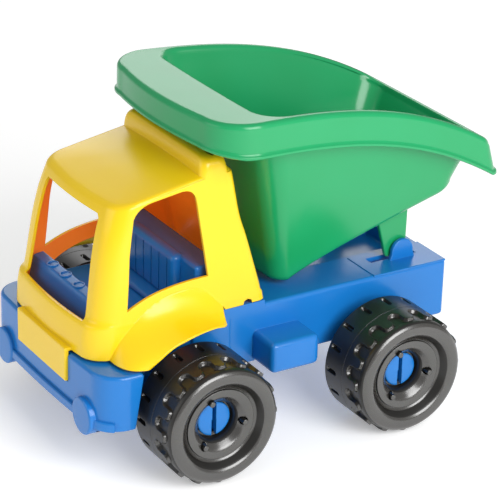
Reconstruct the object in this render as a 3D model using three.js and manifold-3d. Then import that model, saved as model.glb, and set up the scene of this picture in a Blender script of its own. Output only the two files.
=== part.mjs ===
// Toy dump truck for sand and garden play: a moulded chassis with press-fitted stub axles,
// a press-fitted cab shell, a tipping bed and four two-part wheels.
// Millimetres, +Z up. The truck drives towards -Y; its left side is +X.
// The origin is on the ground, under the middle of the truck.
import * as THREE from 'three';
import { mergeVertices } from 'three/addons/utils/BufferGeometryUtils.js';
import Module from 'manifold-3d';

const wasm = await Module();
wasm.setup();

// ---------------------------------------------------------------- driving dimensions
const WALL = 3;                 // moulded wall
const FIT = 0.4;                // clearance between pieces that touch
const CENTRE_Y = 13.25;         // the truck's middle, behind the point midway between the axles

const WHEEL = {
  radius: 50, inner: 81, outer: 134, frontY: -86, rearY: 86, boreRadius: 12.7, sides: 28,
};
const AXLE = { radius: 12, rootRadius: 14, tip: 117.5, barbRadius: 13.4, barbLength: 4, slot: 3.4 };
const DECK = { half: 70, top: 111, bottom: 61.5, front: -46, rear: 161, corner: 5 };
const CHANNEL = { half: 27, depth: 12, front: 20, rear: 148 };
const TANK = { outer: 100, front: -24, rear: 20, bottom: 63.5, top: 89.5 };
const NOSE = { half: 97, front: -170, rear: -135, slant: 7, bottom: 46, top: 92, corner: 23 };
const CABIN = { half: 66.8, front: -139, rear: -45, bottom: 34, floor: 108 };
const LAMP = { x: 67.5, z: 51.7, radius: 15, front: -174.5, rear: -160 };
const BAR = { bottom: 46.3, top: 54.2, proud: 2.5, reach: -160 };
const PAD = { rear: -13, top: 114 };
const CAB = { bottom: 70, wall: 2.6, seam: 94.4, deckSeam: 114.4 };
const GRILLE = { half: 41, front: -174, rear: -170.4, tie: -163, bottom: 68.7, top: 97 };
const HINGE = { y: 130, z: 118, earInner: 47.6, earOuter: 51.6, boss: 4, socket: 4.5 };
const BED = { wall: 2.6, rimTop: 273.5, skirt: 28 };

// ---------------------------------------------------------------- materials
const plastic = (color, roughness) => new THREE.MeshStandardMaterial({ color, roughness, metalness: 0 });
const blue = plastic(0x1a7fd0, 0.3);
const yellow = plastic(0xf2df1d, 0.28);
const green = plastic(0x18a558, 0.3);
const black = plastic(0x2b2a28, 0.45);

// ---------------------------------------------------------------- solids
function solid(geometry) {
  const bare = geometry.index ? geometry.toNonIndexed() : geometry.clone();
  for (const name of Object.keys(bare.attributes)) {
    if (name !== 'position') bare.deleteAttribute(name);
  }
  const merged = mergeVertices(bare, 1e-4);
  const vertProperties = new Float32Array(merged.attributes.position.array);
  const triVerts = new Uint32Array(merged.index.array);
  return new wasm.Manifold(new wasm.Mesh({ numProp: 3, vertProperties, triVerts }));
}

function mesh(name, body, material) {
  const made = body.simplify(0.02).getMesh();
  const geometry = new THREE.BufferGeometry();
  geometry.setAttribute('position', new THREE.BufferAttribute(new Float32Array(made.vertProperties), 3));
  geometry.setIndex(new THREE.BufferAttribute(new Uint32Array(made.triVerts), 1));
  geometry.computeVertexNormals();
  const result = new THREE.Mesh(geometry, material);
  result.name = name;
  return result;
}

const union = (parts) => parts.reduce((whole, part) => whole.add(part));

function box(x0, x1, y0, y1, z0, z1) {
  const geometry = new THREE.BoxGeometry(x1 - x0, y1 - y0, z1 - z0);
  geometry.translate((x0 + x1) / 2, (y0 + y1) / 2, (z0 + z1) / 2);
  return solid(geometry);
}

// A side profile, points [y, z], carried across the truck from x0 to x1.
function across(points, x0, x1, draw) {
  const shape = new THREE.Shape();
  if (draw) draw(shape);
  else shape.setFromPoints(points.map(([y, z]) => new THREE.Vector2(y, z)));
  const geometry = new THREE.ExtrudeGeometry(shape, { depth: x1 - x0, bevelEnabled: false, curveSegments: 8 });
  geometry.applyMatrix4(new THREE.Matrix4().set(0, 0, 1, x0, 1, 0, 0, 0, 0, 1, 0, 0, 0, 0, 0, 1));
  return solid(geometry);
}

// A plan outline, points [x, y], raised from z0 to z1.
function raised(points, z0, z1) {
  const shape = new THREE.Shape(points.map(([x, y]) => new THREE.Vector2(x, y)));
  const geometry = new THREE.ExtrudeGeometry(shape, { depth: z1 - z0, bevelEnabled: false });
  geometry.translate(0, 0, z0);
  return solid(geometry);
}

// A cylinder along X, centred on (y, z).
function pin(x0, x1, y, z, radius0, radius1 = radius0, sides = 28) {
  const geometry = new THREE.CylinderGeometry(radius1, radius0, x1 - x0, sides);
  geometry.rotateZ(-Math.PI / 2);
  geometry.translate((x0 + x1) / 2, y, z);
  return solid(geometry);
}

// A skin through closed rings that all have the same number of points.
function loft(rings) {
  const count = rings[0].length;
  const positions = [];
  const index = [];
  for (const ring of rings) for (const p of ring) positions.push(...p);
  for (let level = 0; level + 1 < rings.length; level += 1) {
    for (let i = 0; i < count; i += 1) {
      const a = level * count + i;
      const b = level * count + ((i + 1) % count);
      index.push(a, b, b + count, a, b + count, a + count);
    }
  }
  const cap = (ring, base, flip) => {
    const centre = positions.length / 3;
    const mean = [0, 1, 2].map((axis) => ring.reduce((sum, p) => sum + p[axis], 0) / count);
    positions.push(...mean);
    for (let i = 0; i < count; i += 1) {
      const a = base + i;
      const b = base + ((i + 1) % count);
      if (flip) index.push(centre, b, a);
      else index.push(centre, a, b);
    }
  };
  cap(rings[0], 0, true);
  cap(rings[rings.length - 1], (rings.length - 1) * count, false);
  const geometry = new THREE.BufferGeometry();
  geometry.setAttribute('position', new THREE.BufferAttribute(new Float32Array(positions), 3));
  geometry.setIndex(index);
  return solid(geometry);
}

// A rounded plan outline, symmetric about x = 0, turning anticlockwise from the front left.
// bow is how far the front edge swells forward in its middle.
function outline({ front, rear, frontHalf, rearHalf, frontRadius, rearRadius, bow = 0, steps = 5 }) {
  const left = [];
  const frontPoints = 4;
  const straight = frontHalf - frontRadius;
  for (let i = 0; i < frontPoints; i += 1) {
    const x = (straight * i) / frontPoints;
    left.push([x, front - bow * (1 - (x / straight) ** 2)]);
  }
  for (let i = 0; i <= steps; i += 1) {
    const angle = (-Math.PI / 2) * (1 - i / steps);
    left.push([straight + frontRadius * Math.cos(angle), front + frontRadius + frontRadius * Math.sin(angle)]);
  }
  const sidePoints = 9;
  const sideFront = front + frontRadius;
  const sideRear = rear - rearRadius;
  for (let i = 1; i < sidePoints; i += 1) {
    const t = i / sidePoints;
    left.push([frontHalf + (rearHalf - frontHalf) * t, sideFront + (sideRear - sideFront) * t]);
  }
  for (let i = 0; i <= steps; i += 1) {
    const angle = (Math.PI / 2) * (i / steps);
    left.push([rearHalf - rearRadius + rearRadius * Math.cos(angle), sideRear + rearRadius * Math.sin(angle)]);
  }
  left.push([(rearHalf - rearRadius) / 2, rear], [0, rear]);
  const right = left.slice(1, -1).reverse().map(([x, y]) => [-x, y]);
  return [...left, ...right];
}

const at = (points, height) => points.map(([x, y]) => [x, y, typeof height === 'function' ? height(y) : height]);

// ---------------------------------------------------------------- cab shell
// Roof height along the truck.
const roofZ = (y) => 213 + 12 * THREE.MathUtils.clamp((y + 136) / 66, -0.3, 1.2);

function cabRings(inset, floor) {
  const ring = (front, rear, half, radius, z) => at(outline({
    front: front + inset,
    rear: rear - inset,
    frontHalf: half - inset,
    rearHalf: half - inset,
    frontRadius: radius - inset / 2,
    rearRadius: 6 - inset / 2,
    bow: 3,
  }), z);
  return [
    ring(-165, -10, 71, 20, floor),
    ring(-165, -10, 71, 20, 97),
    ring(-160, -16, 70.5, 19, 126),
    ring(-153, -28, 67, 18, 170),
    ring(-144, -38, 64, 17, (y) => roofZ(y) - 8 - inset),
    ring(-137, -42, 59, 16, (y) => roofZ(y) - inset),
  ];
}

function cabShell() {
  // The raised hood behind the roof, which the bed's front lip covers.
  const hoodProfile = [[-70, 212], [-70, 225], [-66, 236], [-60, 240], [-50, 240], [-44, 212]];
  const hood = across(hoodProfile, -61.5, 61.5);
  const hoodRoom = across(
    [[-67, 205], [-67, 224.5], [-63.6, 233.8], [-58, 237.3], [-50, 237.3], [-47, 226], [-47, 205]], -58.9, 58.9);
  let shell = loft(cabRings(0, CAB.bottom)).add(hood);
  shell = shell.subtract(loft(cabRings(CAB.wall, CAB.bottom - 1))).subtract(hoodRoom);
  // Windscreen: wider at the sill than at the roof.
  const screen = [
    [[-49, -200, 121], [49, -200, 121], [49, -120, 121], [-49, -120, 121]],
    [[-43, -200, 203], [43, -200, 203], [43, -120, 203], [-43, -120, 203]],
  ];
  shell = shell.subtract(loft(screen));
  // Side windows: a slanted opening with an arched lower edge.
  const windows = across(null, -90, 90, (shape) => {
    shape.moveTo(-136, 130.5);
    shape.bezierCurveTo(-118, 141, -94, 145.5, -65, 145.5);
    shape.lineTo(-72, 207);
    shape.quadraticCurveTo(-74, 217, -84, 216);
    shape.lineTo(-113, 209);
    shape.quadraticCurveTo(-122, 206, -125, 197);
    shape.lineTo(-136, 130.5);
  });
  shell = shell.subtract(windows);
  // The lower edge: nose seam, wheel well, step up to the deck.
  const below = across(null, -100, 100, (shape) => {
    shape.moveTo(-190, 60);
    shape.lineTo(-190, CAB.seam);
    shape.lineTo(-147, CAB.seam);
    shape.lineTo(-142, 103);
    shape.quadraticCurveTo(-124, 126, -92, 130);
    shape.quadraticCurveTo(-62, 133, -50, CAB.deckSeam);
    shape.lineTo(0, CAB.deckSeam);
    shape.lineTo(0, 60);
    shape.lineTo(-190, 60);
  });
  shell = shell.subtract(below);
  const fender = flare();
  shell = shell.add(fender).add(fender.mirror([1, 0, 0]));
  // Grille block on the nose, part of the same moulding.
  const grille = box(-GRILLE.half, GRILLE.half, GRILLE.front, GRILLE.rear, GRILLE.bottom, GRILLE.top);
  const tie = box(-GRILLE.half, GRILLE.half, GRILLE.front, GRILLE.tie, CAB.seam, GRILLE.top);
  return shell.add(grille).add(tie);
}

// The flare over a front wheel: stations from the nose back, each from the cab's side
// wall, over a crown, to the free edge.
const FLARE = [
  [[70, -150, 93], [91, -145, 93], [98, -134, 93]],
  [[70, -150, 95], [91, -145, 95], [98.5, -133, 95]],
  [[70, -144, 104], [90, -135, 105], [100, -125.4, 101]],
  [[70, -136, 112], [89, -124, 114], [100, -113.5, 108.7]],
  [[70, -124, 122], [87, -111, 120.5], [100, -101.4, 112.9]],
  [[70, -109, 130], [86, -97, 125], [98.5, -88, 115]],
  [[70, -91, 134], [83, -81, 126], [94, -73, 114]],
  [[70, -71, 133], [81, -65, 122], [89, -61, 110.8]],
  [[70, -51, 118], [78.5, -54, 114.5], [85, -56, 108.6]],
];

function flare() {
  const hub = new THREE.Vector3(52, -90, 56);
  const inward = ([x, y, z]) => {
    const p = new THREE.Vector3(x, y, z);
    const step = hub.clone().sub(p).setLength(CAB.wall);
    return p.add(step).toArray();
  };
  const rings = FLARE.map((station) => [...station, ...station.map(inward).reverse()]);
  return loft(rings).trimByPlane([0, 0, 1], CAB.seam);
}

// ---------------------------------------------------------------- chassis
function stubAxle(y, side) {
  const body = pin(DECK.half - 6, AXLE.tip, y, WHEEL.radius, AXLE.rootRadius, AXLE.radius)
    .add(pin(AXLE.tip - AXLE.barbLength, AXLE.tip, y, WHEEL.radius, AXLE.barbRadius, AXLE.barbRadius - 1.4));
  const slot = box(AXLE.tip - 26, AXLE.tip + 1, y - AXLE.slot / 2, y + AXLE.slot / 2, 20, 80);
  const made = body.subtract(slot);
  return side > 0 ? made : made.mirror([1, 0, 0]);
}

// The nose in plan at one height; its rear edge leans forward towards the bottom.
function nosePlan(grow, lean) {
  return outline({
    front: NOSE.front - grow,
    rear: NOSE.rear - lean + grow,
    frontHalf: NOSE.half + grow,
    rearHalf: NOSE.half + grow,
    frontRadius: NOSE.corner + grow,
    rearRadius: 1.5,
    bow: 2,
  });
}

function noseBox() {
  const body = (grow, bottom, top) => loft([
    at(nosePlan(grow, NOSE.slant), bottom),
    at(nosePlan(grow, 0), top),
  ]);
  return { outer: body(0, NOSE.bottom, NOSE.top), room: body(-WALL, NOSE.bottom - 1, NOSE.top - WALL) };
}

// The bumper bar: a low band round the nose's front and corners.
function bumperBar() {
  const plan = nosePlan(BAR.proud, NOSE.slant);
  const band = raised(plan, BAR.bottom, BAR.top);
  return band.intersect(box(-120, 120, -200, BAR.reach, 0, 100));
}

function lampDisc(side) {
  const disc = new THREE.CylinderGeometry(LAMP.radius, LAMP.radius, LAMP.rear - LAMP.front, 24);
  disc.translate(side * LAMP.x, (LAMP.front + LAMP.rear) / 2, LAMP.z);
  return solid(disc);
}

function tray(half, front, rear, bottom, top, radius) {
  const outer = outline({ front, rear, frontHalf: half, rearHalf: half, frontRadius: radius, rearRadius: radius });
  const room = outline({
    front: front + WALL,
    rear: rear - WALL,
    frontHalf: half - WALL,
    rearHalf: half - WALL,
    frontRadius: radius - WALL / 2,
    rearRadius: radius - WALL / 2,
  });
  return { outer: raised(outer, bottom, top), room: raised(room, bottom - 1, top - WALL) };
}

function chassis() {
  const deck = tray(DECK.half, DECK.front, DECK.rear, DECK.bottom, DECK.top, DECK.corner);
  const nose = noseBox();
  const cabin = tray(CABIN.half, CABIN.front, CABIN.rear, CABIN.bottom, CABIN.floor, 3);
  let body = union([
    deck.outer,
    nose.outer,
    cabin.outer,
    box(-TANK.outer, TANK.outer, TANK.front, TANK.rear, TANK.bottom, TANK.top),
    bumperBar(),
    lampDisc(-1),
    lampDisc(1),
  ]);
  // Carriers that hold the rear stub axles below the deck.
  const carrier = [[WHEEL.rearY - 20, 66], [WHEEL.rearY - 15, 34], [WHEEL.rearY + 15, 34], [WHEEL.rearY + 20, 66]];
  body = body.add(across(carrier, 60, DECK.half)).add(across(carrier, -DECK.half, -60));
  body = body.subtract(union([
    deck.room,
    nose.room,
    cabin.room,
    box(-TANK.outer + WALL, TANK.outer - WALL, TANK.front + WALL, TANK.rear - WALL, 50, TANK.top - WALL),
  ]));
  // Channel along the deck, with its own floor.
  body = body.add(box(-CHANNEL.half - WALL, CHANNEL.half + WALL, CHANNEL.front - WALL, CHANNEL.rear + WALL,
    DECK.top - CHANNEL.depth - WALL, DECK.top - 1));
  body = body.subtract(box(-CHANNEL.half, CHANNEL.half, CHANNEL.front, CHANNEL.rear,
    DECK.top - CHANNEL.depth, DECK.top + 5));
  // Raised pad under the cab's tail.
  body = body.add(box(-DECK.half, DECK.half, DECK.front, PAD.rear, DECK.top - WALL, PAD.top));
  // Recess that takes the grille block.
  const recess = { half: GRILLE.half + FIT, back: NOSE.front + 1, bottom: GRILLE.bottom - FIT };
  body = body.subtract(box(-recess.half, recess.half, NOSE.front - 20, recess.back, recess.bottom, 110));
  body = body.add(box(-recess.half - WALL, recess.half + WALL, recess.back, recess.back + WALL,
    recess.bottom - WALL, NOSE.top));
  // Seat walls and dashboard inside the cab.
  for (const block of [dashboard(), seat()]) {
    body = body.add(block.outer).subtract(block.room);
  }
  for (const side of [-1, 1]) {
    body = body.add(stubAxle(WHEEL.frontY, side)).add(stubAxle(WHEEL.rearY, side));
    body = body.add(hingeEar(side));
    body = body.subtract(hingePocket(side));
  }
  return body;
}

function dashboard() {
  const outer = across([[-153, 86], [-153, 112], [-148, 131], [-140, 131], [-136, 86]], -62, 62);
  const room = across([[-150, 80], [-150, 111], [-146, 128], [-142, 128], [-139, 80]], -59, 59);
  return { outer, room };
}

function seat() {
  const outer = across([[-90, 106], [-90, 112], [-72, 114], [-70, 151], [-50, 151], [-44, 106]], -60, 60)
    .add(box(-40, 40, -77, -69, 113, 151));
  const room = across([[-87, 100], [-87, 109], [-69, 111], [-67, 148], [-53, 148], [-58, 100]], -57, 57);
  return { outer, room };
}

function hingeEar(side) {
  const ear = across(null, HINGE.earInner, HINGE.earOuter, (shape) => {
    shape.moveTo(HINGE.y - 13.5, DECK.top - 2);
    shape.lineTo(HINGE.y + 13.5, DECK.top - 2);
    shape.lineTo(HINGE.y + 10.5, HINGE.z);
    shape.absarc(HINGE.y, HINGE.z, 10.5, 0, Math.PI, false);
    shape.lineTo(HINGE.y - 13.5, DECK.top - 2);
  });
  const socket = pin(HINGE.earInner - 1, HINGE.earInner + 2.4, HINGE.y, HINGE.z, HINGE.socket);
  const made = ear.subtract(socket);
  return side > 0 ? made : made.mirror([1, 0, 0]);
}

function hingePocket(side) {
  const x0 = side > 0 ? 39 : -47.2;
  return box(x0, x0 + 8.2, HINGE.y - 28, HINGE.y + 16, 90, DECK.top + 1);
}

// ---------------------------------------------------------------- tipping bed
// Height of the rim's top along the truck: level over the cab, dipping to the tail.
function rimZ(y) {
  const t = THREE.MathUtils.clamp((y + 40) / 232, 0, 1);
  return BED.rimTop - 7 * t - 54 * t ** 2.6;
}

// Height of the bed's underside along the truck: a low belly in front, rising to the tail.
function floorZ(y) {
  const t = THREE.MathUtils.clamp((y - 20) / 145, 0, 1);
  return 114 + 56 * t ** 0.86;
}

function bedRings(inset, lift, top) {
  const ring = (front, rear, frontHalf, rearHalf, radius, z) => at(outline({
    front: front + inset,
    rear: rear - inset,
    frontHalf: frontHalf - inset,
    rearHalf: rearHalf - inset,
    frontRadius: radius - inset / 2,
    rearRadius: radius - inset / 2,
    bow: 1,
  }), z);
  return [
    ring(6, 168, 53, 65, 14, (y) => floorZ(y) + lift),
    ring(2, 173, 56, 68, 16, (y) => floorZ(y) + 8 + lift),
    ring(-28, 184, 84, 80, 20, (y) => rimZ(y) - 3),
    ring(-30, 185, 86, 80, 20, (y) => rimZ(y) + top),
  ];
}

// The rim's plan outline; flare carries its tail further back.
function rimOutline(grow, flare = 0) {
  return outline({
    front: -70 - grow,
    rear: 191 + grow + flare,
    frontHalf: 95 + grow,
    rearHalf: 84 + grow,
    frontRadius: 34 + grow,
    rearRadius: 12 + grow,
    bow: 6,
  });
}

// The bowl's mouth, just inside its wall.
function mouthOutline() {
  return outline({
    front: -27, rear: 182, frontHalf: 83, rearHalf: 77, frontRadius: 19, rearRadius: 19, bow: 1,
  });
}

function tipperBed() {
  const walls = loft(bedRings(0, 0, -0.5));
  const rim = loft([
    at(rimOutline(2, 8), (y) => rimZ(y) - BED.skirt),
    at(rimOutline(2, 7), (y) => rimZ(y) - BED.skirt + 3),
    at(rimOutline(0, 7), (y) => rimZ(y) - BED.skirt + 4),
    at(rimOutline(0), (y) => rimZ(y) - 2),
    at(rimOutline(-2), rimZ),
    at(mouthOutline(), rimZ),
  ]);
  const rimRoom = loft([
    at(rimOutline(-BED.wall, 8), (y) => rimZ(y) - BED.skirt - 1),
    at(rimOutline(-BED.wall), (y) => rimZ(y) - BED.wall - 1),
    at(mouthOutline(), (y) => rimZ(y) - BED.wall - 1),
  ]);
  let bed = rim.subtract(rimRoom).add(walls);
  bed = bed.subtract(loft(bedRings(BED.wall, BED.wall, 6)));
  const leg = [[HINGE.y - 13, 113.2], [HINGE.y - 8, 112.6], [HINGE.y, HINGE.z - 6.4], [HINGE.y + 6.5, HINGE.z - 1],
    [HINGE.y + 7, 160], [HINGE.y - 28, 152]];
  const legs = across(leg, 41.6, 46.4);
  const boss = pin(46.2, HINGE.earInner + 2, HINGE.y, HINGE.z, HINGE.boss);
  const left = legs.subtract(loft(bedRings(1, 1, 0))).add(boss);
  return bed.add(left).add(left.mirror([1, 0, 0]));
}

// ---------------------------------------------------------------- wheels
// Profiles are [radius, distance from the wheel's inner face].
const WIDTH = WHEEL.outer - WHEEL.inner;
const PARTING = WIDTH / 2;
const CIRCUM = 1 / Math.cos(Math.PI / WHEEL.sides);
const TREAD = WHEEL.radius * CIRCUM;

const OUTER_PROFILE = [
  [TREAD, PARTING + 0.15], [TREAD, WIDTH - 8], [48, WIDTH - 2.5], [44, WIDTH], [37, WIDTH], [32, WIDTH - 8],
  [29, WIDTH - 9], [29, WIDTH - 6.4], [22.5, WIDTH - 7.6], [14.8, WIDTH - 14], [14.8, WIDTH - 20.5],
  [WHEEL.boreRadius, WIDTH - 20.5], [WHEEL.boreRadius, PARTING + 0.15], [16.5, PARTING + 0.15],
  [17.5, WIDTH - 15], [28, WIDTH - 12.4], [33, WIDTH - 11], [38, WIDTH - 3], [43, WIDTH - 3],
  [TREAD - 3, WIDTH - 9], [TREAD - 3, PARTING + 0.15],
];
const INNER_PROFILE = [
  [WHEEL.boreRadius + 1.6, 0], [46, 0], [TREAD, 3.5], [TREAD, PARTING - 0.15], [TREAD - 3, PARTING - 0.15],
  [TREAD - 3, 6], [44, 3], [18, 3], [16, PARTING - 0.15], [WHEEL.boreRadius + 1.6, PARTING - 0.15],
];

function lathe(profile, sides) {
  const points = [...profile, profile[0]].map(([r, u]) => new THREE.Vector2(r, u));
  const geometry = new THREE.LatheGeometry(points, sides);
  geometry.rotateY(Math.PI / sides);
  geometry.rotateZ(-Math.PI / 2);
  return solid(geometry);
}

const POST_ANGLES = [113, -8, 231];
const POST = { circle: 21.3, radius: 2.3, tip: WIDTH - 4.6, hole: 3.1 };

function onPostCircle(degrees) {
  const angle = THREE.MathUtils.degToRad(degrees);
  return [POST.circle * Math.cos(angle), POST.circle * Math.sin(angle)];
}

function wheelHalves() {
  let outer = lathe(OUTER_PROFILE, WHEEL.sides);
  let inner = lathe(INNER_PROFILE, WHEEL.sides);
  for (const degrees of POST_ANGLES) {
    const [y, z] = onPostCircle(degrees);
    outer = outer.subtract(pin(PARTING, WIDTH + 1, y, z, POST.hole, POST.hole, 12));
    inner = inner.add(pin(2, POST.tip, y, z, POST.radius, POST.radius, 12));
  }
  return { outer, inner };
}

function addWheel(truck, name, side, y, halves) {
  for (const [half, body] of Object.entries(halves)) {
    const placed = side > 0 ? body : body.mirror([1, 0, 0]);
    const piece = mesh(`wheel_${name}_${half}_half`, placed, black);
    piece.position.set(side * WHEEL.inner, y, WHEEL.radius);
    truck.add(piece);
  }
}

// ---------------------------------------------------------------- the truck
const truck = new THREE.Group();
truck.add(mesh('chassis', chassis(), blue));
truck.add(mesh('cab_shell', cabShell(), yellow));
truck.add(mesh('tipper_bed', tipperBed(), green));
const halves = wheelHalves();
addWheel(truck, 'front_left', 1, WHEEL.frontY, halves);
addWheel(truck, 'front_right', -1, WHEEL.frontY, halves);
addWheel(truck, 'rear_left', 1, WHEEL.rearY, halves);
addWheel(truck, 'rear_right', -1, WHEEL.rearY, halves);
truck.position.y = -CENTRE_Y;

export default truck;
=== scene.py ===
# %% [markdown]
# # A sand-pit dump truck
# A child's tipping lorry, moulded in four colours of polypropylene: a blue chassis, a yellow
# cab, a green bed and black two-part wheels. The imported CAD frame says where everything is,
# and this lesson builds the finished look round it, piece by piece.

# %% Load the frame
import math
import bmesh
import bpy
import numpy as np
from mathutils import Matrix, Vector
from mathutils.bvhtree import BVHTree


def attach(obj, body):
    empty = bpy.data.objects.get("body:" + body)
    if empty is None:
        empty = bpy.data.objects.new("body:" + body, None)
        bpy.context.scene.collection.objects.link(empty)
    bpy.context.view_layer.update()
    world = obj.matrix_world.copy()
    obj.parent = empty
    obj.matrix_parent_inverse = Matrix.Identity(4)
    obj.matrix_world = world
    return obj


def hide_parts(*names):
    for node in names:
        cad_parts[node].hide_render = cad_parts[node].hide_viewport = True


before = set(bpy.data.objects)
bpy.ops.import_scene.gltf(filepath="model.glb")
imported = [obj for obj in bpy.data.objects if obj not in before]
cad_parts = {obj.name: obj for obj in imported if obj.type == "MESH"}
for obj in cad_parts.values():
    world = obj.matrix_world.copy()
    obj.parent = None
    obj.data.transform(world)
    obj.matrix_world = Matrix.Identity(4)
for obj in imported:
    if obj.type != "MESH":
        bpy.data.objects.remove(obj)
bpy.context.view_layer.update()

# %% [markdown]
# ## Units and places
# Sizes are written in millimetres, as a toolmaker's drawing has them, with y measured from
# the point midway between the axles. One function moves them to the frame's metres.

# %% Sizes shared by several pieces
MM = 0.001
CENTRE_Y = 13.25        # the truck's middle lies this far behind the midpoint of the axles
WALL = 2.6              # moulded wall
AXLE_Y = (-86.0, 86.0)
AXLE_Z = 50.0
HINGE_Y, HINGE_Z = 130.0, 118.0


def in_metres(points):
    return (np.asarray(points, float) - (0.0, CENTRE_Y, 0.0)) * MM


def mesh_object(name, points, faces):
    mesh = bpy.data.meshes.new(name)
    mesh.from_pydata(in_metres(points).tolist(), [], faces)
    obj = bpy.data.objects.new(name, mesh)
    bpy.context.scene.collection.objects.link(obj)
    weld(obj)
    return obj


def weld(obj):
    edit = bmesh.new()
    edit.from_mesh(obj.data)
    bmesh.ops.remove_doubles(edit, verts=edit.verts, dist=0.00001)
    bmesh.ops.recalc_face_normals(edit, faces=edit.faces)
    edit.to_mesh(obj.data)
    edit.free()


# %% [markdown]
# ## Skins through rings
# Thin moulded shells are easiest to draw as a stack of closed rings with the same number of
# points. A skin over the rings gives a smooth wall, and rings that turn over an edge and come
# back down inside give the wall its thickness and its rolled lip in one piece.

# %% Skin and outline helpers
def skin(name, rings, ends="cap"):
    rings = np.asarray(rings, float)
    levels, count = rings.shape[:2]
    points = rings.reshape(-1, 3).tolist()
    faces = []
    last = levels if ends == "loop" else levels - 1
    for level in range(last):
        above = (level + 1) % levels
        for i in range(count):
            j = (i + 1) % count
            faces.append((level * count + i, level * count + j, above * count + j, above * count + i))
    if ends == "cap":
        for level in (0, levels - 1):
            centre = len(points)
            points.append(rings[level].mean(axis=0).tolist())
            for i in range(count):
                faces.append((centre, level * count + i, level * count + (i + 1) % count))
    return mesh_object(name, points, faces)


def outline(front, rear, front_half, rear_half, front_radius, rear_radius, bow=0.0):
    """A rounded plan outline, symmetric about the truck's middle."""
    straight = front_half - front_radius
    x = np.linspace(0, straight, 12, endpoint=False)
    nose = np.c_[x, front - bow * (1 - (x / straight) ** 2)]
    turn = np.linspace(-math.pi / 2, 0, 14)
    corner = np.c_[straight + front_radius * np.cos(turn), front + front_radius * (1 + np.sin(turn))]
    t = np.linspace(0, 1, 40)[1:-1]
    start, end = front + front_radius, rear - rear_radius
    side = np.c_[front_half + (rear_half - front_half) * t, start + (end - start) * t]
    turn = np.linspace(0, math.pi / 2, 10)
    heel = np.c_[rear_half - rear_radius * (1 - np.cos(turn)), end + rear_radius * np.sin(turn)]
    x = np.linspace(rear_half - rear_radius, 0, 8)[1:]
    tail = np.c_[x, np.full(len(x), rear)]
    left = np.vstack([nose, corner, side, heel, tail])
    right = left[-2:0:-1] * (-1, 1)
    return np.vstack([left, right])


def at_height(plan, height):
    z = height(plan[:, 1]) if callable(height) else np.full(len(plan), float(height))
    return np.c_[plan, z]


def smooth_between(stations, steps):
    """Catmull-Rom rings between the stations, so a few of them give an even curve."""
    s = np.asarray(stations, float)
    padded = np.concatenate([[2 * s[0] - s[1]], s, [2 * s[-1] - s[-2]]])
    made = []
    for k in range(1, len(padded) - 2):
        p0, p1, p2, p3 = padded[k - 1:k + 3]
        for t in np.linspace(0, 1, steps, endpoint=False):
            made.append(0.5 * (2 * p1 + (p2 - p0) * t + (2 * p0 - 5 * p1 + 4 * p2 - p3) * t ** 2
                               + (3 * p1 - p0 - 3 * p2 + p3) * t ** 3))
    made.append(s[-1])
    return np.array(made)


# %% [markdown]
# ## Blocks, profiles and cuts
# Ribs, tanks and cutters start as blocks or as side profiles carried across the truck. Their
# edges are bevelled before they are joined, because a mould has no sharp corners.

# %% Solid helpers
def soften(obj, edge, steps=3, least=30):
    if edge <= 0:
        return obj
    edit = bmesh.new()
    edit.from_mesh(obj.data)
    sharp = [e for e in edit.edges if e.calc_face_angle(0) > math.radians(least)]
    bmesh.ops.bevel(edit, geom=sharp, offset=edge * MM, segments=steps, profile=0.5,
                    affect="EDGES", clamp_overlap=True)
    edit.to_mesh(obj.data)
    edit.free()
    return obj


def prism(name, profile, x0, x1, edge=0.0):
    """A side profile of (y, z) points carried across the truck."""
    count = len(profile)
    points = [(x, y, z) for x in (x0, x1) for y, z in profile]
    faces = [tuple(range(count)), tuple(range(count, 2 * count))]
    faces += [(i, (i + 1) % count, count + (i + 1) % count, count + i) for i in range(count)]
    return soften(mesh_object(name, points, faces), edge)


def block(name, x, y, z, edge=1.5):
    profile = [(y[0], z[0]), (y[1], z[0]), (y[1], z[1]), (y[0], z[1])]
    return prism(name, profile, x[0], x[1], edge)


def drum(name, x0, x1, y, z, r0, r1=None, edge=0.0, sides=48):
    """A pin along the truck's width."""
    turn = np.linspace(0, 2 * math.pi, sides, endpoint=False)
    r1 = r0 if r1 is None else r1
    rings = [np.c_[np.full(sides, x), y + r * np.cos(turn), z + r * np.sin(turn)]
             for x, r in ((x0, r0), (x1, r1))]
    return soften(skin(name, rings), edge)


def bake(obj):
    """Turns an object with modifiers into a plain mesh."""
    seen = bpy.context.evaluated_depsgraph_get()
    mesh = bpy.data.meshes.new_from_object(obj.evaluated_get(seen))
    obj.modifiers.clear()
    obj.data = mesh
    return obj


def combine(target, tools, how="UNION"):
    for tool in tools:
        step = target.modifiers.new(how, "BOOLEAN")
        step.operation = how
        step.solver = "MANIFOLD"
        step.object = tool
        bake(target)
        bpy.data.objects.remove(tool)
    return target


def surface_tree(cutters):
    """Remembers where the cutters' surfaces lie, to find the faces that they leave behind."""
    edit = bmesh.new()
    for cutter in cutters:
        edit.from_mesh(cutter.data)
    tree = BVHTree.FromBMesh(edit)
    edit.free()
    return tree


def shade(obj, angle=32):
    obj.data.shade_smooth()
    obj.data.set_sharp_from_angle(angle=math.radians(angle))
    weights = obj.modifiers.new("even normals", "WEIGHTED_NORMAL")
    weights.keep_sharp = True
    return bake(obj)


# %% [markdown]
# ## Polypropylene
# Every piece is injection-moulded polypropylene: waxy, a little translucent, with a gloss
# that comes from the polished mould and a very slight waviness where the wall sank as it
# cooled. The wheels are the same plastic from a matt mould. Colours are sRGB values.

# %% Material helpers
def linear(code):
    parts = [int(code[i:i + 2], 16) / 255 for i in (0, 2, 4)]
    return tuple(c / 12.92 if c <= 0.04045 else ((c + 0.055) / 1.055) ** 2.4 for c in parts) + (1.0,)


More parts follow.
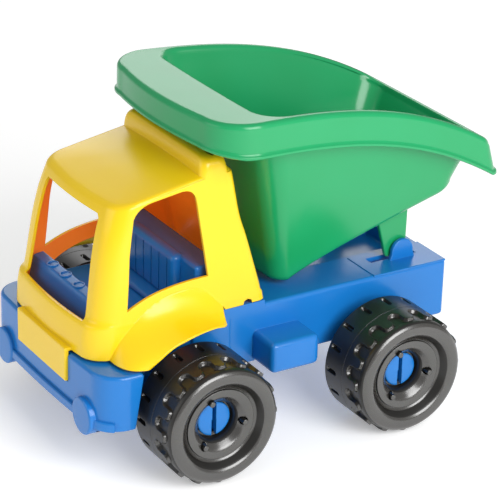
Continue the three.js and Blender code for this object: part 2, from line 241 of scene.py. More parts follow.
def add_node(tree, kind, settings=None, **links):
    node = tree.nodes.new(kind)
    for key, value in (settings or {}).items():
        setattr(node, key, value)
    for key, value in links.items():
        socket = node.inputs[key.replace("_", " ")]
        if isinstance(value, bpy.types.NodeSocket):
            tree.links.new(value, socket)
        else:
            socket.default_value = value
    return node


def polypropylene(name, code, deep, roughness, sink_mm, grain_mm, grain, painted_glow=0.0, ior=1.49):
    """Moulded polypropylene. deep is the colour of its thicker, more saturated patches. The surface
    also glows in the deep colour at the strength given: painted light that stands in for the light
    which comes through a thin wall from its far side."""
    material = bpy.data.materials.new(name)
    material.use_nodes = True
    tree = material.node_tree
    tree.nodes.clear()
    place = add_node(tree, "ShaderNodeTexCoord").outputs["Object"]
    patches = add_node(tree, "ShaderNodeTexNoise", Vector=place, Scale=1 / (55 * MM), Detail=1.0)
    tone = add_node(tree, "ShaderNodeMapRange", Value=patches.outputs["Fac"],
                    From_Min=0.3, From_Max=0.7, To_Min=0.0, To_Max=0.35)
    colour = add_node(tree, "ShaderNodeMix", {"data_type": "RGBA"})
    tree.links.new(tone.outputs["Result"], colour.inputs[0])
    colour.inputs[6].default_value = linear(code)
    colour.inputs[7].default_value = linear(deep)
    sinks = add_node(tree, "ShaderNodeTexNoise", Vector=place, Scale=1 / (sink_mm * MM), Detail=0.0)
    grains = add_node(tree, "ShaderNodeTexNoise", Vector=place, Scale=1 / (grain_mm * MM), Detail=2.0)
    edge = add_node(tree, "ShaderNodeBevel", {"samples": 6}, Radius=0.9 * MM)
    waves = add_node(tree, "ShaderNodeBump", Strength=0.35, Distance=0.25 * MM,
                     Height=sinks.outputs["Fac"], Normal=edge.outputs["Normal"])
    fine = add_node(tree, "ShaderNodeBump", Strength=grain, Distance=0.05 * MM,
                    Height=grains.outputs["Fac"], Normal=waves.outputs["Normal"])
    # Any emission here is painted light glowing from the wall, not a lamp.
    surface = add_node(tree, "ShaderNodeBsdfPrincipled", Base_Color=colour.outputs[2],
                       Roughness=roughness, IOR=ior, Normal=fine.outputs["Normal"],
                       Emission_Color=linear(deep), Emission_Strength=painted_glow)
    add_node(tree, "ShaderNodeOutputMaterial", Surface=surface.outputs["BSDF"])
    return material


BLUE = polypropylene("gloss blue polypropylene", "1674C2", "1268B4", 0.24, 18, 0.9, 0.10)
YELLOW = polypropylene("gloss yellow polypropylene", "F4CE14", "F1C60E", 0.25, 22, 0.9, 0.10)
GREEN = polypropylene("gloss green polypropylene", "1A9A5E", "159052", 0.22, 22, 0.9, 0.10)
BLACK = polypropylene("satin black polypropylene", "1D1C1A", "181715", 0.34, 14, 0.6, 0.30)
# The side walls are given a lighter black, a lower roughness and a higher IOR, so they reflect more of
# the room; the lighter black is a painted sheen from the side light.
SHEEN_PAINTED_BLACK = polypropylene("black polypropylene with painted sheen", "33312E", "2C2A28", 0.25, 14, 0.6, 0.20,
                         ior=1.9)
# Inside the cab the yellow is painted amber and glows a little: painted shade and painted light,
# standing in for the light that has passed through the wall and bounced between its faces.
PAINTED_SHADE_AMBER = polypropylene("amber polypropylene with painted shade, glowing", "F0801C", "E8721A", 0.30, 22, 0.9, 0.10, painted_glow=0.22)
print("finishes", [m.name for m in (BLUE, YELLOW, GREEN, BLACK, SHEEN_PAINTED_BLACK)])


def finish_piece(obj, material, body, nodes=()):
    obj.data.materials.clear()
    obj.data.materials.append(material)
    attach(obj, body)
    if nodes:
        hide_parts(*nodes)
    print(obj.name, len(obj.data.polygons), "faces")


# %% [markdown]
# ## Even copies
# Tread lugs and seat ribs repeat at an even step. One Geometry Nodes tree does both: it puts
# a copy on each point of a line, turns each copy a little further than the last about the
# axle's direction, and welds the copies where they meet.

# %% The repeating tree
def repeating_tree():
    tree = bpy.data.node_groups.new("even copies", "GeometryNodeTree")
    face = tree.interface
    inputs = {}
    face.new_socket(name="Geometry", in_out="OUTPUT", socket_type="NodeSocketGeometry")
    face.new_socket(name="Geometry", in_out="INPUT", socket_type="NodeSocketGeometry")
    kinds = {"Count": "Int", "Step": "Vector", "Turn": "Float", "Finish": "Material"}
    for name, kind in kinds.items():
        made = face.new_socket(name=name, in_out="INPUT", socket_type="NodeSocket" + kind)
        inputs[name] = made.identifier
    given = add_node(tree, "NodeGroupInput").outputs
    line = add_node(tree, "GeometryNodeMeshLine", {"mode": "OFFSET"},
                    Count=given["Count"], Offset=given["Step"])
    index = add_node(tree, "GeometryNodeInputIndex").outputs["Index"]
    angle = add_node(tree, "ShaderNodeMath", {"operation": "MULTIPLY"})
    tree.links.new(index, angle.inputs[0])
    tree.links.new(given["Turn"], angle.inputs[1])
    turned = add_node(tree, "ShaderNodeCombineXYZ", X=angle.outputs["Value"])
    copies = add_node(tree, "GeometryNodeInstanceOnPoints", Points=line.outputs["Mesh"],
                      Instance=given["Geometry"], Rotation=turned.outputs["Vector"])
    real = add_node(tree, "GeometryNodeRealizeInstances", Geometry=copies.outputs["Instances"])
    joined = add_node(tree, "GeometryNodeMergeByDistance", Geometry=real.outputs["Geometry"],
                      Distance=0.02 * MM)
    coated = add_node(tree, "GeometryNodeSetMaterial", Geometry=joined.outputs["Geometry"],
                      Material=given["Finish"])
    out = add_node(tree, "NodeGroupOutput")
    tree.links.new(coated.outputs["Geometry"], out.inputs[0])
    return tree, inputs


REPEAT, REPEAT_INPUTS = repeating_tree()


def repeat(obj, count, material, step=(0.0, 0.0, 0.0), turn=0.0):
    copier = obj.modifiers.new("even copies", "NODES")
    copier.node_group = REPEAT
    values = {"Count": count, "Step": [s * MM for s in step], "Turn": turn, "Finish": material}
    for name, value in values.items():
        copier[REPEAT_INPUTS[name]] = value
    return bake(obj)


# %% [markdown]
# ## The tipping bed
# The bed is one moulding: a deep bowl whose floor rises to the tail, a broad flange round its
# mouth, and a skirt that turns down from the flange. It is drawn as one closed stack of rings
# that goes up the outside of the bowl, out under the flange, round the skirt's lip, over the
# rim and down the inside.

# %% Bed heights
def rim_z(y):
    t = np.clip((y + 40) / 232, 0, 1)
    return 273.5 - 7 * t - 54 * t ** 2.6


def floor_z(y):
    t = np.clip((y - 20) / 145, 0, 1)
    return 114 + 56 * t ** 0.86


def skirt_z(y):
    return rim_z(y) - 28 + 4.5 * np.clip((-48 - y) / 28, 0, 1)


def bowl_ring(t, inset, height):
    mix = lambda low, high: low + (high - low) * t
    plan = outline(mix(5, -30) + inset, mix(170, 185) - inset, mix(54, 86) - inset, mix(66, 80) - inset,
                   mix(15, 22) - inset / 2, mix(14, 20) - inset / 2, 1.0)
    return at_height(plan, height)


def rim_ring(grow, height, flare=0.0):
    plan = outline(-70 - grow, 191 + grow + flare, 95 + grow, 84 + grow, 34 + grow, 12 + grow, 6.0)
    return at_height(plan, height)


def bowl_wall(inset, lift, fillet, top_gap):
    """Rings from the floor's edge up the wall, round a generous fillet."""
    rings = []
    for a in np.linspace(0, math.pi / 2, 7):
        drop = fillet * (1 - math.cos(a))
        pull = fillet * (1 - math.sin(a))
        rings.append(bowl_ring(0.0, inset + pull, lambda y: floor_z(y) + lift + drop))
    for t in np.linspace(0.06, 1, 16):
        rings.append(bowl_ring(t, inset, lambda y: (floor_z(y) + lift + fillet) * (1 - t)
                               + (rim_z(y) - top_gap) * t))
    return rings


# %% Bed shell
def bed_shell():
    outside = bowl_wall(0.0, 0.0, 9.0, 5.0)
    under = [
        rim_ring(-8.0, lambda y: rim_z(y) - 3.0),
        rim_ring(-3.4, lambda y: rim_z(y) - 3.4),
        rim_ring(-2.6, lambda y: rim_z(y) - 6.0),
        rim_ring(-2.6, lambda y: skirt_z(y) + 4, 7),
        rim_ring(-0.6, lambda y: skirt_z(y) + 0.3, 8),
        rim_ring(0.8, lambda y: skirt_z(y), 8),
        rim_ring(1.9, lambda y: skirt_z(y) + 0.7, 8),
        rim_ring(1.9, lambda y: skirt_z(y) + 2.6, 7.6),
        rim_ring(0.6, lambda y: skirt_z(y) + 3.8, 7.2),
        rim_ring(0.1, lambda y: skirt_z(y) + 5.2, 6.8),
    ]
    over = [rim_ring(0.0, lambda y: rim_z(y) - 4.6, 1.0)]
    for a in np.linspace(0.15, math.pi / 2, 6):
        over.append(rim_ring(-4.2 * (1 - math.cos(a)), lambda y: rim_z(y) - 4.2 * (1 - math.sin(a))))
    mouth = [
        bowl_ring(1.0, -1.5, lambda y: rim_z(y) - 0.1),
        bowl_ring(1.0, 0.0, lambda y: rim_z(y) - 0.5),
        bowl_ring(1.0, 1.5, lambda y: rim_z(y) - 1.6),
        bowl_ring(1.0, 2.4, lambda y: rim_z(y) - 3.4),
    ]
    inside = bowl_wall(WALL, WALL, 9.0, 6.0)
    return skin("tipping_bed", outside + under + over + mouth + inside[::-1])


bed = bed_shell()
leg_side = [
    (HINGE_Y - 13, 113.2), (HINGE_Y - 8, 112.4), (HINGE_Y, HINGE_Z - 6.2),
    (HINGE_Y + 6.5, HINGE_Z - 1), (HINGE_Y + 7, 162), (HINGE_Y - 24, 152),
]
for side in (-1, 1):
    leg = prism("leg", leg_side, side * 41.8, side * 46.2, 1.2)
    boss = drum("boss", side * 45, side * 49.4, HINGE_Y, HINGE_Z, 3.9, edge=0.4)
    combine(bed, [leg, boss])
# The legs reach up through the floor, so what stands inside the bowl is trimmed away.
hollow = skin("hollow", bowl_wall(WALL, WALL, 9.0, 6.0))
combine(bed, [hollow], "DIFFERENCE")
shade(bed)
finish_piece(bed, GREEN, "bed", ["tipper_bed"])

# %% [markdown]
# ## The cab shell
# The cab is a hood of thin plastic that snaps over the chassis. Its plan shrinks from the sill
# to the roof and its front leans back, so a few rings with a smooth curve between them give
# its body; the windows and the seam with the chassis are then cut from it.

# %% Cab body
def roof_z(y):
    return 213 + 12 * np.clip((y + 136) / 66, -0.3, 1.2)


def cab_ring(front, rear, half, radius, height, inset):
    half -= inset
    plan = outline(front + inset, rear - inset, half, half, radius - inset / 2, 7 - inset / 2, 3.0)
    return at_height(plan, height)


CAB_LEVELS = [  # front, rear, half width, corner radius, height
    (-167, -10, 71, 20, 80), (-167, -10, 71, 20, 97), (-166.2, -12, 71, 20, 112),
    (-165.2, -13.5, 70.8, 20, 118), (-163.8, -14, 70.8, 19.5, 121), (-160.8, -15.5, 70.6, 19, 123.6),
    (-159.2, -17, 70.2, 19, 130), (-156.2, -22.5, 69, 18.5, 150), (-153, -28, 67.6, 18, 170),
    (-148.6, -34, 66, 18, 190),
]
ROOF_LEVELS = [  # front, rear, half width, corner radius, drop below the roof
    (-143.4, -39.5, 63.8, 18, 5.5), (-141.6, -41, 62.7, 17.5, 2.0), (-139.0, -42.5, 61, 17, 0.5),
    (-135, -46, 57, 16, -0.1), (-122, -54, 46, 14, -0.9), (-110, -64, 30, 12, -1.6),
    (-98, -78, 16, 8, -1.9),
]


def cab_rings(inset):
    walls = [cab_ring(f, r, h, c, z, inset) for f, r, h, c, z in CAB_LEVELS]
    roof = [cab_ring(f, r, h, c, lambda y, d=d: roof_z(y) - d - inset, inset)
            for f, r, h, c, d in ROOF_LEVELS]
    return np.concatenate([smooth_between(walls[:3], 2), smooth_between(walls[3:] + roof, 4)])


def curve(points, steps=10):
    """Points of a chain of quadratic curves: corner, control, corner, control, corner."""
    made = []
    for k in range(0, len(points) - 2, 2):
        a, b, c = (np.array(p, float) for p in points[k:k + 3])
        for t in np.linspace(0, 1, steps, endpoint=False):
            made.append(tuple(a * (1 - t) ** 2 + 2 * b * t * (1 - t) + c * t ** 2))
    made.append(tuple(points[-1]))
    return made


window_side = curve([(-135.8, 131), (-120, 139.5), (-104, 142.2), (-88, 145.2), (-65.2, 145.4)], 12)
window_side += curve([(-73.4, 206), (-74.6, 218), (-86, 217.2)], 6)
window_side += curve([(-111, 213.4), (-123, 211.5), (-127.6, 203)], 6)
window_side += curve([(-127.6, 203), (-132, 180), (-132.6, 172), (-134, 150), (-135.8, 131)], 5)[1:-1]

seam_side = [(-190, 60), (-190, 94.4), (-147, 94.4), (-142, 103)]
seam_side += curve([(-142, 103), (-124, 126), (-92, 130), (-62, 133), (-50, 114.4)], 10)[1:]
# A small round notch in the seam shows where the cab snaps onto the chassis.
seam_side += [(-34, 114.6), (-33, 117.6), (-29.8, 119), (-26.6, 117.6), (-25.6, 114.9)]
seam_side += [(0, 116), (0, 60)]


def windscreen():
    low, high = 121.3, 203.0
    opening = [
        (-49.4, low), (49.4, low), (43.2, high - 3), (40.4, high), (-40.4, high), (-43.2, high - 3),
    ]
    rings = [[(x, y, z) for x, z in opening] for y in (-200, -120)]
    return skin("windscreen_cut", rings)


cab = skin("cab_body", cab_rings(0.0))
HOOD_LEVELS = [  # front, rear, half width, corner radius, height
    (-69.5, -37, 65.4, 6, 198), (-69.5, -40.5, 64.4, 6, 213), (-69, -44, 63.6, 6, 226),
    (-68, -46, 62.4, 6.5, 234), (-66, -47.5, 59.6, 8, 238.4), (-62.5, -50, 55, 9, 239.8),
]


def hood_rings(inset):
    rings = []
    for front, rear, half, radius, z in HOOD_LEVELS:
        half -= inset
        radius -= inset / 2
        plan = outline(front + inset, rear - inset, half, half, radius, radius)
        rings.append(at_height(plan, z - inset))
    return smooth_between(rings, 3)


hood = skin("hood", hood_rings(0.0))
combine(cab, [hood])
room = skin("room", cab_rings(WALL) - (0, 0, 0.01))
hood_room = skin("hood_room", hood_rings(WALL))
inner_wall = surface_tree([room, hood_room])
combine(cab, [room, hood_room, windscreen(), prism("side_windows", window_side, -90, 90),
              prism("seam", seam_side, -100, 100)], "DIFFERENCE")
print("cab body", len(cab.data.polygons), "faces")

# %% [markdown]
# ## Wheel-arch flares
# Over each front wheel the cab's side swells out into a flare. It is a sheet that leaves the
# side wall along a rising curve and ends on an arc round the wheel, so it is drawn as
# stations of three points: wall, crown and free edge.

# %% Flares and grille block
FLARE = [
    [(69.8, -151, 91), (89, -147.5, 91), (97.6, -134, 91)],
    [(69.8, -150.5, 95), (89.5, -147, 95), (98.6, -133, 95)],
    [(69.8, -146, 104), (87, -138, 103.5), (99.8, -125.4, 101.4)],
    [(69.8, -139, 113), (84.8, -126.5, 111.4), (99.8, -113.5, 109)],
    [(69.9, -128, 123.5), (83.2, -114.6, 117.4), (99.6, -101.4, 113)],
    [(69.9, -113, 133), (81.2, -101, 121.2), (98, -88, 115.2)],
    [(69.9, -93, 138), (78.4, -83.5, 122), (93.8, -73, 114.4)],
    [(69.8, -71, 136.5), (76.6, -66.5, 119.6), (89, -61.5, 111)],
    [(69.6, -51.5, 119), (76.4, -54, 113), (85, -56.5, 108.8)],
]


def flare_skin(side):
    stations = []
    for wall, crown, edge in FLARE:
        wall, crown, edge = (np.array(p, float) for p in (wall, crown, edge))
        control = 2 * crown - (wall + edge) / 2
        stations.append([wall * (1 - t) ** 2 + 2 * control * t * (1 - t) + edge * t ** 2
                         for t in np.linspace(0, 1, 12)])
    outer = smooth_between(stations, 6)
    wheel_side = np.array((52.0, -90.0, 56.0))
    inward = wheel_side - outer
    inner = outer + WALL * inward / np.linalg.norm(inward, axis=2, keepdims=True)
    lip = (outer[:, -1:] + inner[:, -1:]) / 2 + (outer[:, -1:] - outer[:, -2:-1]) * 0.35
    rings = np.concatenate([outer, lip, inner[:, ::-1]], axis=1)
    return skin("flare", rings * (side, 1, 1))


for side in (-1, 1):
    sheet = flare_skin(side)
    below_seam = block("below_seam", (side * 60, side * 120), (-170, -120), (70, 94.4), 0)
    combine(sheet, [below_seam], "DIFFERENCE")
    combine(cab, [sheet])
grille = block("grille", (-41, 41), (-173.9, -164), (68.9, 97), 1.0)
slot_cut = block("grille_back", (-60, 60), (-170.6, -150), (50, 94.4), 0)
combine(grille, [slot_cut], "DIFFERENCE")
combine(cab, [grille])
shade(cab)
finish_piece(cab, YELLOW, "frame", ["cab_shell"])
# The inner faces take the amber: painted shade, glowing a little as painted light.
cab.data.materials.append(PAINTED_SHADE_AMBER)
NEAR = 0.12 * MM        # closer than this to the cutters' surface is an inner face
painted_shade_faces = 0
for face in cab.data.polygons:
    if inner_wall.find_nearest(face.center)[3] < NEAR:
        face.material_index = 1
        painted_shade_faces += 1
print("amber faces inside the cab", painted_shade_faces)

# %% [markdown]
# ## The chassis
# The chassis is one deep tray: deck, nose and cabin floor, with boxes for tanks on its sides.
# Rounded blocks are joined, hollowed from below, and the deck's channel and the pockets for
# the bed's legs are cut from above.

# %% Chassis tray
def nose_ring(grow, lean, z):
    plan = outline(-170 - grow, -135 - lean + grow, 97 + grow, 97 + grow, 23 + grow, 1.4, 2.0)
    return at_height(plan, z)


def nose_body(grow, low, high):
    rings = [
        nose_ring(grow - 1.2, 7, low),
        nose_ring(grow - 0.3, 7, low + 0.4),
        nose_ring(grow, 7, low + 1.4),
        nose_ring(grow, 0.5, high - 3),
    ]
    for a in np.linspace(0.3, math.pi / 2, 5):
        rings.append(nose_ring(grow - 3 * (1 - math.cos(a)), 0.5, high - 3 * (1 - math.sin(a))))
    return skin("nose", rings)


def bumper_bar():
    stages = ((-3, 46.3), (1.6, 46.4), (2.4, 47.2), (2.4, 53.2), (1.6, 54.1), (-3, 54.2))
    bar = skin("bumper_bar", [nose_ring(grow, 7, z) for grow, z in stages])
    behind = block("behind", (-130, 130), (-160, -60), (30, 70), 0)
    return combine(bar, [behind], "DIFFERENCE")


def lamp_disc(side):
    turn = np.linspace(0, 2 * math.pi, 48, endpoint=False)
    rings = []
    for y, r in ((-160, 15), (-173.2, 15), (-174, 14.4), (-174.4, 13.4), (-174.4, 2)):
        rings.append(np.c_[side * 67.5 + r * np.cos(turn), np.full(48, y), 51.7 + r * np.sin(turn)])
    return skin("lamp_disc", rings)


POCKET_X, POCKET_Y = (39, 47.2), (102, 146)   # where the bed's legs drop into the deck
deck = block("chassis_shell", (-70, 70), (-46, 161), (61.5, 111), 3.0)
parts = [nose_body(0, 46, 92), bumper_bar(), lamp_disc(-1), lamp_disc(1),
         block("cabin", (-66.8, 66.8), (-139, -45), (34, 108), 1.5),
         block("pad", (-70, 70), (-58, -13), (104, 114), 0.8),
         block("cabin_side", (-69.9, 69.9), (-78, -44), (61.5, 108), 1.5)]
for side in (-1, 1):
    parts.append(block("tank", (side * 60, side * 100), (-24, 20), (63.5, 89.5), 4.6))
    carrier_side = [(66, 66), (71, 34), (101, 34), (106, 66)]
    parts.append(prism("carrier", carrier_side, side * 60, side * 69.8, 1.0))
combine(deck, parts)
hollows = [block("deck_room", (-67, 67), (-43, 158), (40, 108), 1.0), nose_body(-3, 40, 89),
           block("cabin_room", (-63.8, 63.8), (-136, -48), (20, 105), 1.0)]
for side in (-1, 1):
    hollows.append(block("tank_room", (side * 60, side * 97), (-21, 17), (50, 86.5), 1.0))
combine(deck, hollows, "DIFFERENCE")
combine(deck, [block("channel_floor", (-30, 30), (17, 151), (96, 110.5), 0)])
cuts = [block("channel", (-27, 27), (20, 148), (99, 118), 1.6),
        block("grille_recess", (-41.4, 41.4), (-190, -169), (68.3, 110), 0)]
for side in (-1, 1):
    cuts.append(block("pocket", [side * x for x in POCKET_X], POCKET_Y, (90, 112), 0))
combine(deck, cuts, "DIFFERENCE")

# %% Ears, hinge sockets and deck step
def ear_side():
    turn = np.linspace(-0.12, math.pi + 0.12, 20)
    top = [(HINGE_Y + 10.5 * math.cos(a), HINGE_Z + 10.5 * math.sin(a)) for a in turn]
    return [(HINGE_Y + 13.2, 109)] + top + [(HINGE_Y - 13.2, 109)]


ears = []
for side in (-1, 1):
    ear = prism("ear", ear_side(), side * 47.6, side * 51.6, 0)
    soften(ear, 1.1, least=60)
    ears.append(ear)
    ears.append(block("rear_step", (side * 30, side * 69.6), (90, 160.6), (110, 111.6), 0.5))
combine(deck, ears)
sockets = [drum("socket", side * 46, side * 50, HINGE_Y, HINGE_Z, 4.5) for side in (-1, 1)]
step_pockets = [block("step_pocket", [side * x for x in POCKET_X], POCKET_Y, (105, 113), 0)
                for side in (-1, 1)]
combine(deck, sockets + step_pockets, "DIFFERENCE")
print("chassis", len(deck.data.polygons), "faces")

# %% [markdown]
# ## Stub axles
# Each wheel snaps on a hollow stub that is moulded with the chassis. A slot across its end
# lets the two halves spring together as the hub passes over their barbs.

# %% Stub axles
def stub_axle(side, y):
    turn = np.linspace(0, 2 * math.pi, 56, endpoint=False)
    stages = ((62, 14), (70, 14), (113.0, 12), (113.9, 13.8), (115.8, 14.1), (116.8, 13.9),
              (117.3, 13.2), (117.4, 12.2))
    rings = [np.c_[np.full(56, side * x), y + r * np.cos(turn), AXLE_Z + r * np.sin(turn)]
             for x, r in stages]
    pin = skin("stub_axle", rings)
    upper = block("upper_slot", (side * 92, side * 120), (y - 1.7, y + 1.7), (AXLE_Z - 0.5, 70), 0)
    lower = block("lower_slot", (side * 92, side * 120), (y - 2.3, y + 1.9), (30, AXLE_Z - 0.4), 0)
    return combine(pin, [upper, lower], "DIFFERENCE")


combine(deck, [stub_axle(side, y) for side in (-1, 1) for y in AXLE_Y])
shade(deck)
finish_piece(deck, BLUE, "frame", ["chassis"])

# %% [markdown]
# ## Seat and dashboard
# The cab has a bench seat whose backrest has upright grooves, and a dashboard with raised dials.
# The grooves are cut by one thin bar, repeated at an even step by the Geometry Nodes tree.

# %% Seat
seat_side = [(-90, 107), (-90, 112), (-72, 114), (-71, 150), (-50, 151), (-44, 107)]
seat = prism("bench_seat", seat_side, -60, 60, 2.5)
shade(seat)
finish_piece(seat, BLUE, "frame")
cushion = block("seat_cushion", (-40, 37), (-78.4, -66), (111.5, 151.4), 4.5)
groove = block("seat_grooves", (-34.6, -33.6), (-84, -76.9), (100, 147.5), 0.3)
repeat(groove, 6, BLUE, step=(12.5, 0, 0))
combine(cushion, [groove], "DIFFERENCE")
shade(cushion)
finish_piece(cushion, BLUE, "frame")

# %% Dashboard with plain dials
dash_side = [(-153, 90), (-153, 113), (-149, 129.4), (-140, 130.6), (-137, 90)]
dash = prism("dashboard", dash_side, -62, 62, 1.2)
shade(dash)
finish_piece(dash, BLUE, "frame")


def dial():
    turn = np.linspace(0, 2 * math.pi, 32, endpoint=False)
    section = ((4.0, 129.6), (4.0, 130.9), (5.0, 130.9), (5.0, 129.6))
    rings = [np.c_[-36 + r * np.cos(turn), -144.6 + r * np.sin(turn), np.full(32, z)]
             for r, z in section]
    return skin("dash_dials", rings, "loop")


dials = repeat(dial(), 4, BLUE, step=(22, 0, 0))
shade(dials)
finish_piece(dials, BLUE, "frame")

# %% [markdown]
# ## Wheels
# A wheel is two hollow halves that meet in the middle of the tread. Sixteen equal sectors make
# it: each has one raised finger and half a slot on either side. One sector is drawn as a fine
# patch whose radius follows the lug's outline, and the tree repeats it round the axle.

# %% Tread sector
PERIODS = 16
SECTOR = 2 * math.pi / PERIODS
RADIUS = 50.0
PITCH = 2 * math.pi * RADIUS / PERIODS
INNER_X, WIDTH = 82.0, 52.0
PARTING = WIDTH / 2
HALF_GAP = 0.15         # half the fine line between the two mouldings
RELIEF = 3.0            # depth of the slots below the lugs
ACROSS = 34             # points across the tread


def ease(value):
    t = np.clip(value, 0, 1)
    return t * t * (3 - 2 * t)


def finger_height(s, u):
    """1 on a raised lug and 0 in a slot; s runs round the tread and u across it."""
    beyond = 4.8 - np.hypot(s, np.maximum(u - 41.2, 0))
    bottom = np.hypot(np.abs(s) - PITCH / 2, np.minimum(u - 36.8, 0)) - 5.0
    return ease(np.where(u > 39, beyond, bottom) / 0.9 + 0.5)


def slot_height(s, u):
    near = 1.5 - np.hypot(s, np.maximum(np.abs(u - 11.5) - 4.5, 0))
    return 1 - ease(near / 0.9 + 0.5)


def rounded(corners, steps=5):
    """A closed profile with each corner (r, u, radius) turned into an arc."""
    made = []
    count = len(corners)
    for i, (r, u, radius) in enumerate(corners):
        here = np.array((r, u), float)
        back = np.array(corners[i - 1][:2], float) - here
        ahead = np.array(corners[(i + 1) % count][:2], float) - here
        if radius <= 0:
            made.append(here)
            continue
        reach = min(radius, 0.48 * np.linalg.norm(back), 0.48 * np.linalg.norm(ahead))
        a = here + back / np.linalg.norm(back) * reach
        b = here + ahead / np.linalg.norm(ahead) * reach
        for t in np.linspace(0, 1, steps):
            made.append(a * (1 - t) ** 2 + 2 * here * t * (1 - t) + b * t ** 2)
    return np.array(made)


def wheel_sector(name, corners, tread, height, side):
    """tread is the span of u where the radius follows the lugs."""
    body = rounded(corners)
    flat = np.linspace(tread[0], tread[1], ACROSS)
    profile = np.vstack([np.c_[np.full(ACROSS, RADIUS), flat], body])
    turn = np.linspace(-SECTOR / 2, SECTOR / 2, 29)
    rings = []
    for a in turn:
        r = profile[:, 0].copy()
        r[:ACROSS] -= RELIEF * (1 - height(a * RADIUS, flat))
        rings.append(np.c_[side * profile[:, 1], -r * np.sin(a), r * np.cos(a)])
    rings = np.array(rings)
    count = rings.shape[1]
    faces = []
    for k in range(len(turn) - 1):
        for i in range(count):
            j = (i + 1) % count
            faces.append((k * count + i, k * count + j, (k + 1) * count + j, (k + 1) * count + i))
    mesh = bpy.data.meshes.new(name)
    mesh.from_pydata((rings.reshape(-1, 3) * MM).tolist(), [], faces)
    obj = bpy.data.objects.new(name, mesh)
    bpy.context.scene.collection.objects.link(obj)
    return obj


OUTER_CORNERS = [  # radius, distance across the wheel, rounding
    (47.6, 45.6, 0), (47.2, 49, 3), (44.2, WIDTH, 3), (36.4, WIDTH, 3.5), (31.5, 44.6, 5),
    (29.3, 43.6, 0.6), (29.0, 45.7, 0.5), (22.5, 44.6, 2), (15.9, 38.4, 3), (15.8, 31.5, 0.5),
    (12.8, 31.5, 0.3),
    (12.8, PARTING + HALF_GAP, 0), (16.5, PARTING + HALF_GAP, 0), (17.5, 36.4, 2), (28, 40.5, 2),
    (33, 41.6, 2), (38, 49, 2), (43, 49, 2), (45, 44, 2), (45, PARTING + HALF_GAP, 0),
]
INNER_CORNERS = [  # radius, distance across the wheel, rounding
    (45, PARTING - HALF_GAP, 0), (45, 6, 2), (42, 3, 1), (18, 3, 1), (16, PARTING - HALF_GAP, 0),
    (14.3, PARTING - HALF_GAP, 0), (14.3, 0, 0.5), (44, 0, 2.5), (49, 1.6, 2),
]
POST_ANGLES = (113, -8, 231)   # three pegs hold the halves together
POST_CIRCLE = 21.3
FACING_OUT = 0.7        # a face this square to the axle belongs to a side wall


# %% Assemble the wheels
def post_place(degrees):
    a = math.radians(degrees)
    return POST_CIRCLE * math.cos(a), POST_CIRCLE * math.sin(a)


def near_axle(name, x0, x1, degrees, radius, edge=0.0):
    y, z = post_place(degrees)
    return drum(name, x0, x1, y + CENTRE_Y, z, radius, edge=edge, sides=28)


def wheel_half(name, side, which):
    if which == "outer":
        obj = wheel_sector(name, OUTER_CORNERS, (PARTING + HALF_GAP, 45.4), finger_height, side)
    else:
        obj = wheel_sector(name, INNER_CORNERS, (2.6, PARTING - HALF_GAP), slot_height, side)
    repeat(obj, PERIODS, BLACK, turn=SECTOR)
    weld(obj)
    tools = []
    for degrees in POST_ANGLES:
        if which == "outer":
            tools.append(near_axle("post_hole", side * 27, side * 60, degrees, 3.2))
        else:
            tools.append(near_axle("post", side * 1.5, side * 47.2, degrees, 2.35, 0.5))
    combine(obj, tools, "DIFFERENCE" if which == "outer" else "UNION")
    return shade(obj, 40)


for side, hand in ((1, "left"), (-1, "right")):
    for which in ("outer", "inner"):
        front = wheel_half(f"front_{hand}_wheel_{which}", side, which)
        rear = bpy.data.objects.new(f"rear_{hand}_wheel_{which}", front.data.copy())
        bpy.context.scene.collection.objects.link(rear)
        for obj, y, end in ((front, AXLE_Y[0], "front"), (rear, AXLE_Y[1], "rear")):
            place = Vector((side * INNER_X, y - CENTRE_Y, AXLE_Z)) * MM
            obj.data.transform(Matrix.Translation(place))
            body = f"wheel_{end}_{hand}"
            finish_piece(obj, BLACK, body, [f"{body}_{which}_half"])
            # Faces square to the axle, the side walls, take the lighter black with its painted sheen.
            obj.data.materials.append(SHEEN_PAINTED_BLACK)
            for face in obj.data.polygons:
                if abs(face.normal.x) > FACING_OUT:
                    face.material_index = 1

# %% [markdown]
# ## Studio
# The truck stands on white paper that glows a little, so the paper stays white to its edges.
# A large soft light on its left gives the bright side, a second one high behind it gives the
# pale glance along the bed's rim, and the room is pale, so the shaded front stays readable.

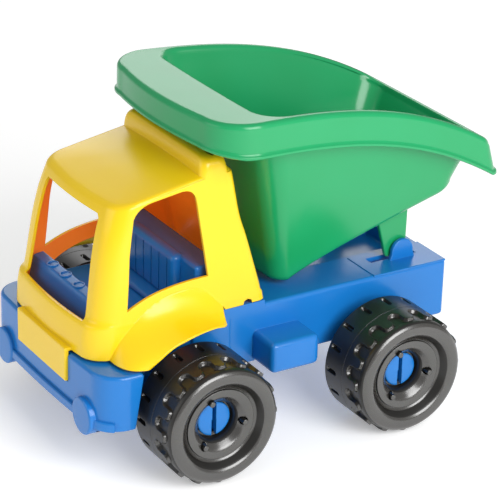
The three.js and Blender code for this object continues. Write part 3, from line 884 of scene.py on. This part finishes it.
# %% Floor, lights and camera
HALF_PAPER = 9.0
BELOW = -0.0004         # the paper lies just under the tyres
floor = bpy.data.meshes.new("studio_floor")
corners = [(x * HALF_PAPER, y * HALF_PAPER, BELOW) for x, y in ((-1, -1), (1, -1), (1, 1), (-1, 1))]
floor.from_pydata(corners, [], [(0, 1, 2, 3)])
studio = bpy.data.objects.new("studio_floor", floor)
bpy.context.scene.collection.objects.link(studio)
paper = bpy.data.materials.new("matt white paper")
paper.use_nodes = True
paper_surface = paper.node_tree.nodes["Principled BSDF"].inputs
paper_surface["Base Color"].default_value = linear("FBFBFB")
paper_surface["Roughness"].default_value = 0.9
paper_surface["Specular IOR Level"].default_value = 0.0
paper_surface["Emission Color"].default_value = (1, 1, 1, 1)
paper_surface["Emission Strength"].default_value = 0.3
floor.materials.append(paper)


def soft_light(name, place, target, size, power):
    data = bpy.data.lights.new(name, "AREA")
    data.shape = "RECTANGLE"
    data.size, data.size_y = size
    data.energy = power
    obj = bpy.data.objects.new(name, data)
    obj.location = place
    obj.rotation_euler = (Vector(target) - Vector(place)).to_track_quat("-Z", "Y").to_euler()
    bpy.context.scene.collection.objects.link(obj)


soft_light("side light", (1.5, 0.15, 0.95), (0, 0, 0.12), (1.1, 1.1), 28)
soft_light("back light", (-1.75, 1.1, 1.05), (0, 0, 0.2), (1.7, 0.8), 9)
soft_light("front light", (-0.3, -1.5, 0.7), (0, 0, 0.12), (1.2, 0.8), 4)
room_light = bpy.data.worlds.new("pale room")
room_light.use_nodes = True
room_glow = room_light.node_tree.nodes["Background"].inputs
room_glow["Color"].default_value = (1, 1, 1, 1)
room_glow["Strength"].default_value = 0.42
bpy.context.scene.world = room_light
bpy.context.scene.view_settings.view_transform = "Standard"

AZIMUTH, ELEVATION, ROLL = (math.radians(v) for v in (57.98, 24.33, 1.65))
level = math.cos(ELEVATION)
back = Vector((math.sin(AZIMUTH) * level, -math.cos(AZIMUTH) * level, math.sin(ELEVATION)))
right = (-back).cross(Vector((0, 0, 1))).normalized()
up = right.cross(-back)
tilted = math.cos(ROLL) * right + math.sin(ROLL) * up
upright = math.cos(ROLL) * up - math.sin(ROLL) * right
lens = bpy.data.cameras.new("camera")
lens.lens = 160.35
lens.clip_start = 0.01
camera = bpy.data.objects.new("camera", lens)
axes = Matrix((tilted, upright, back)).transposed().to_4x4()
camera.matrix_world = Matrix.Translation((1.3924, -0.8689, 0.8651)) @ axes
bpy.context.scene.collection.objects.link(camera)
bpy.context.scene.camera = camera
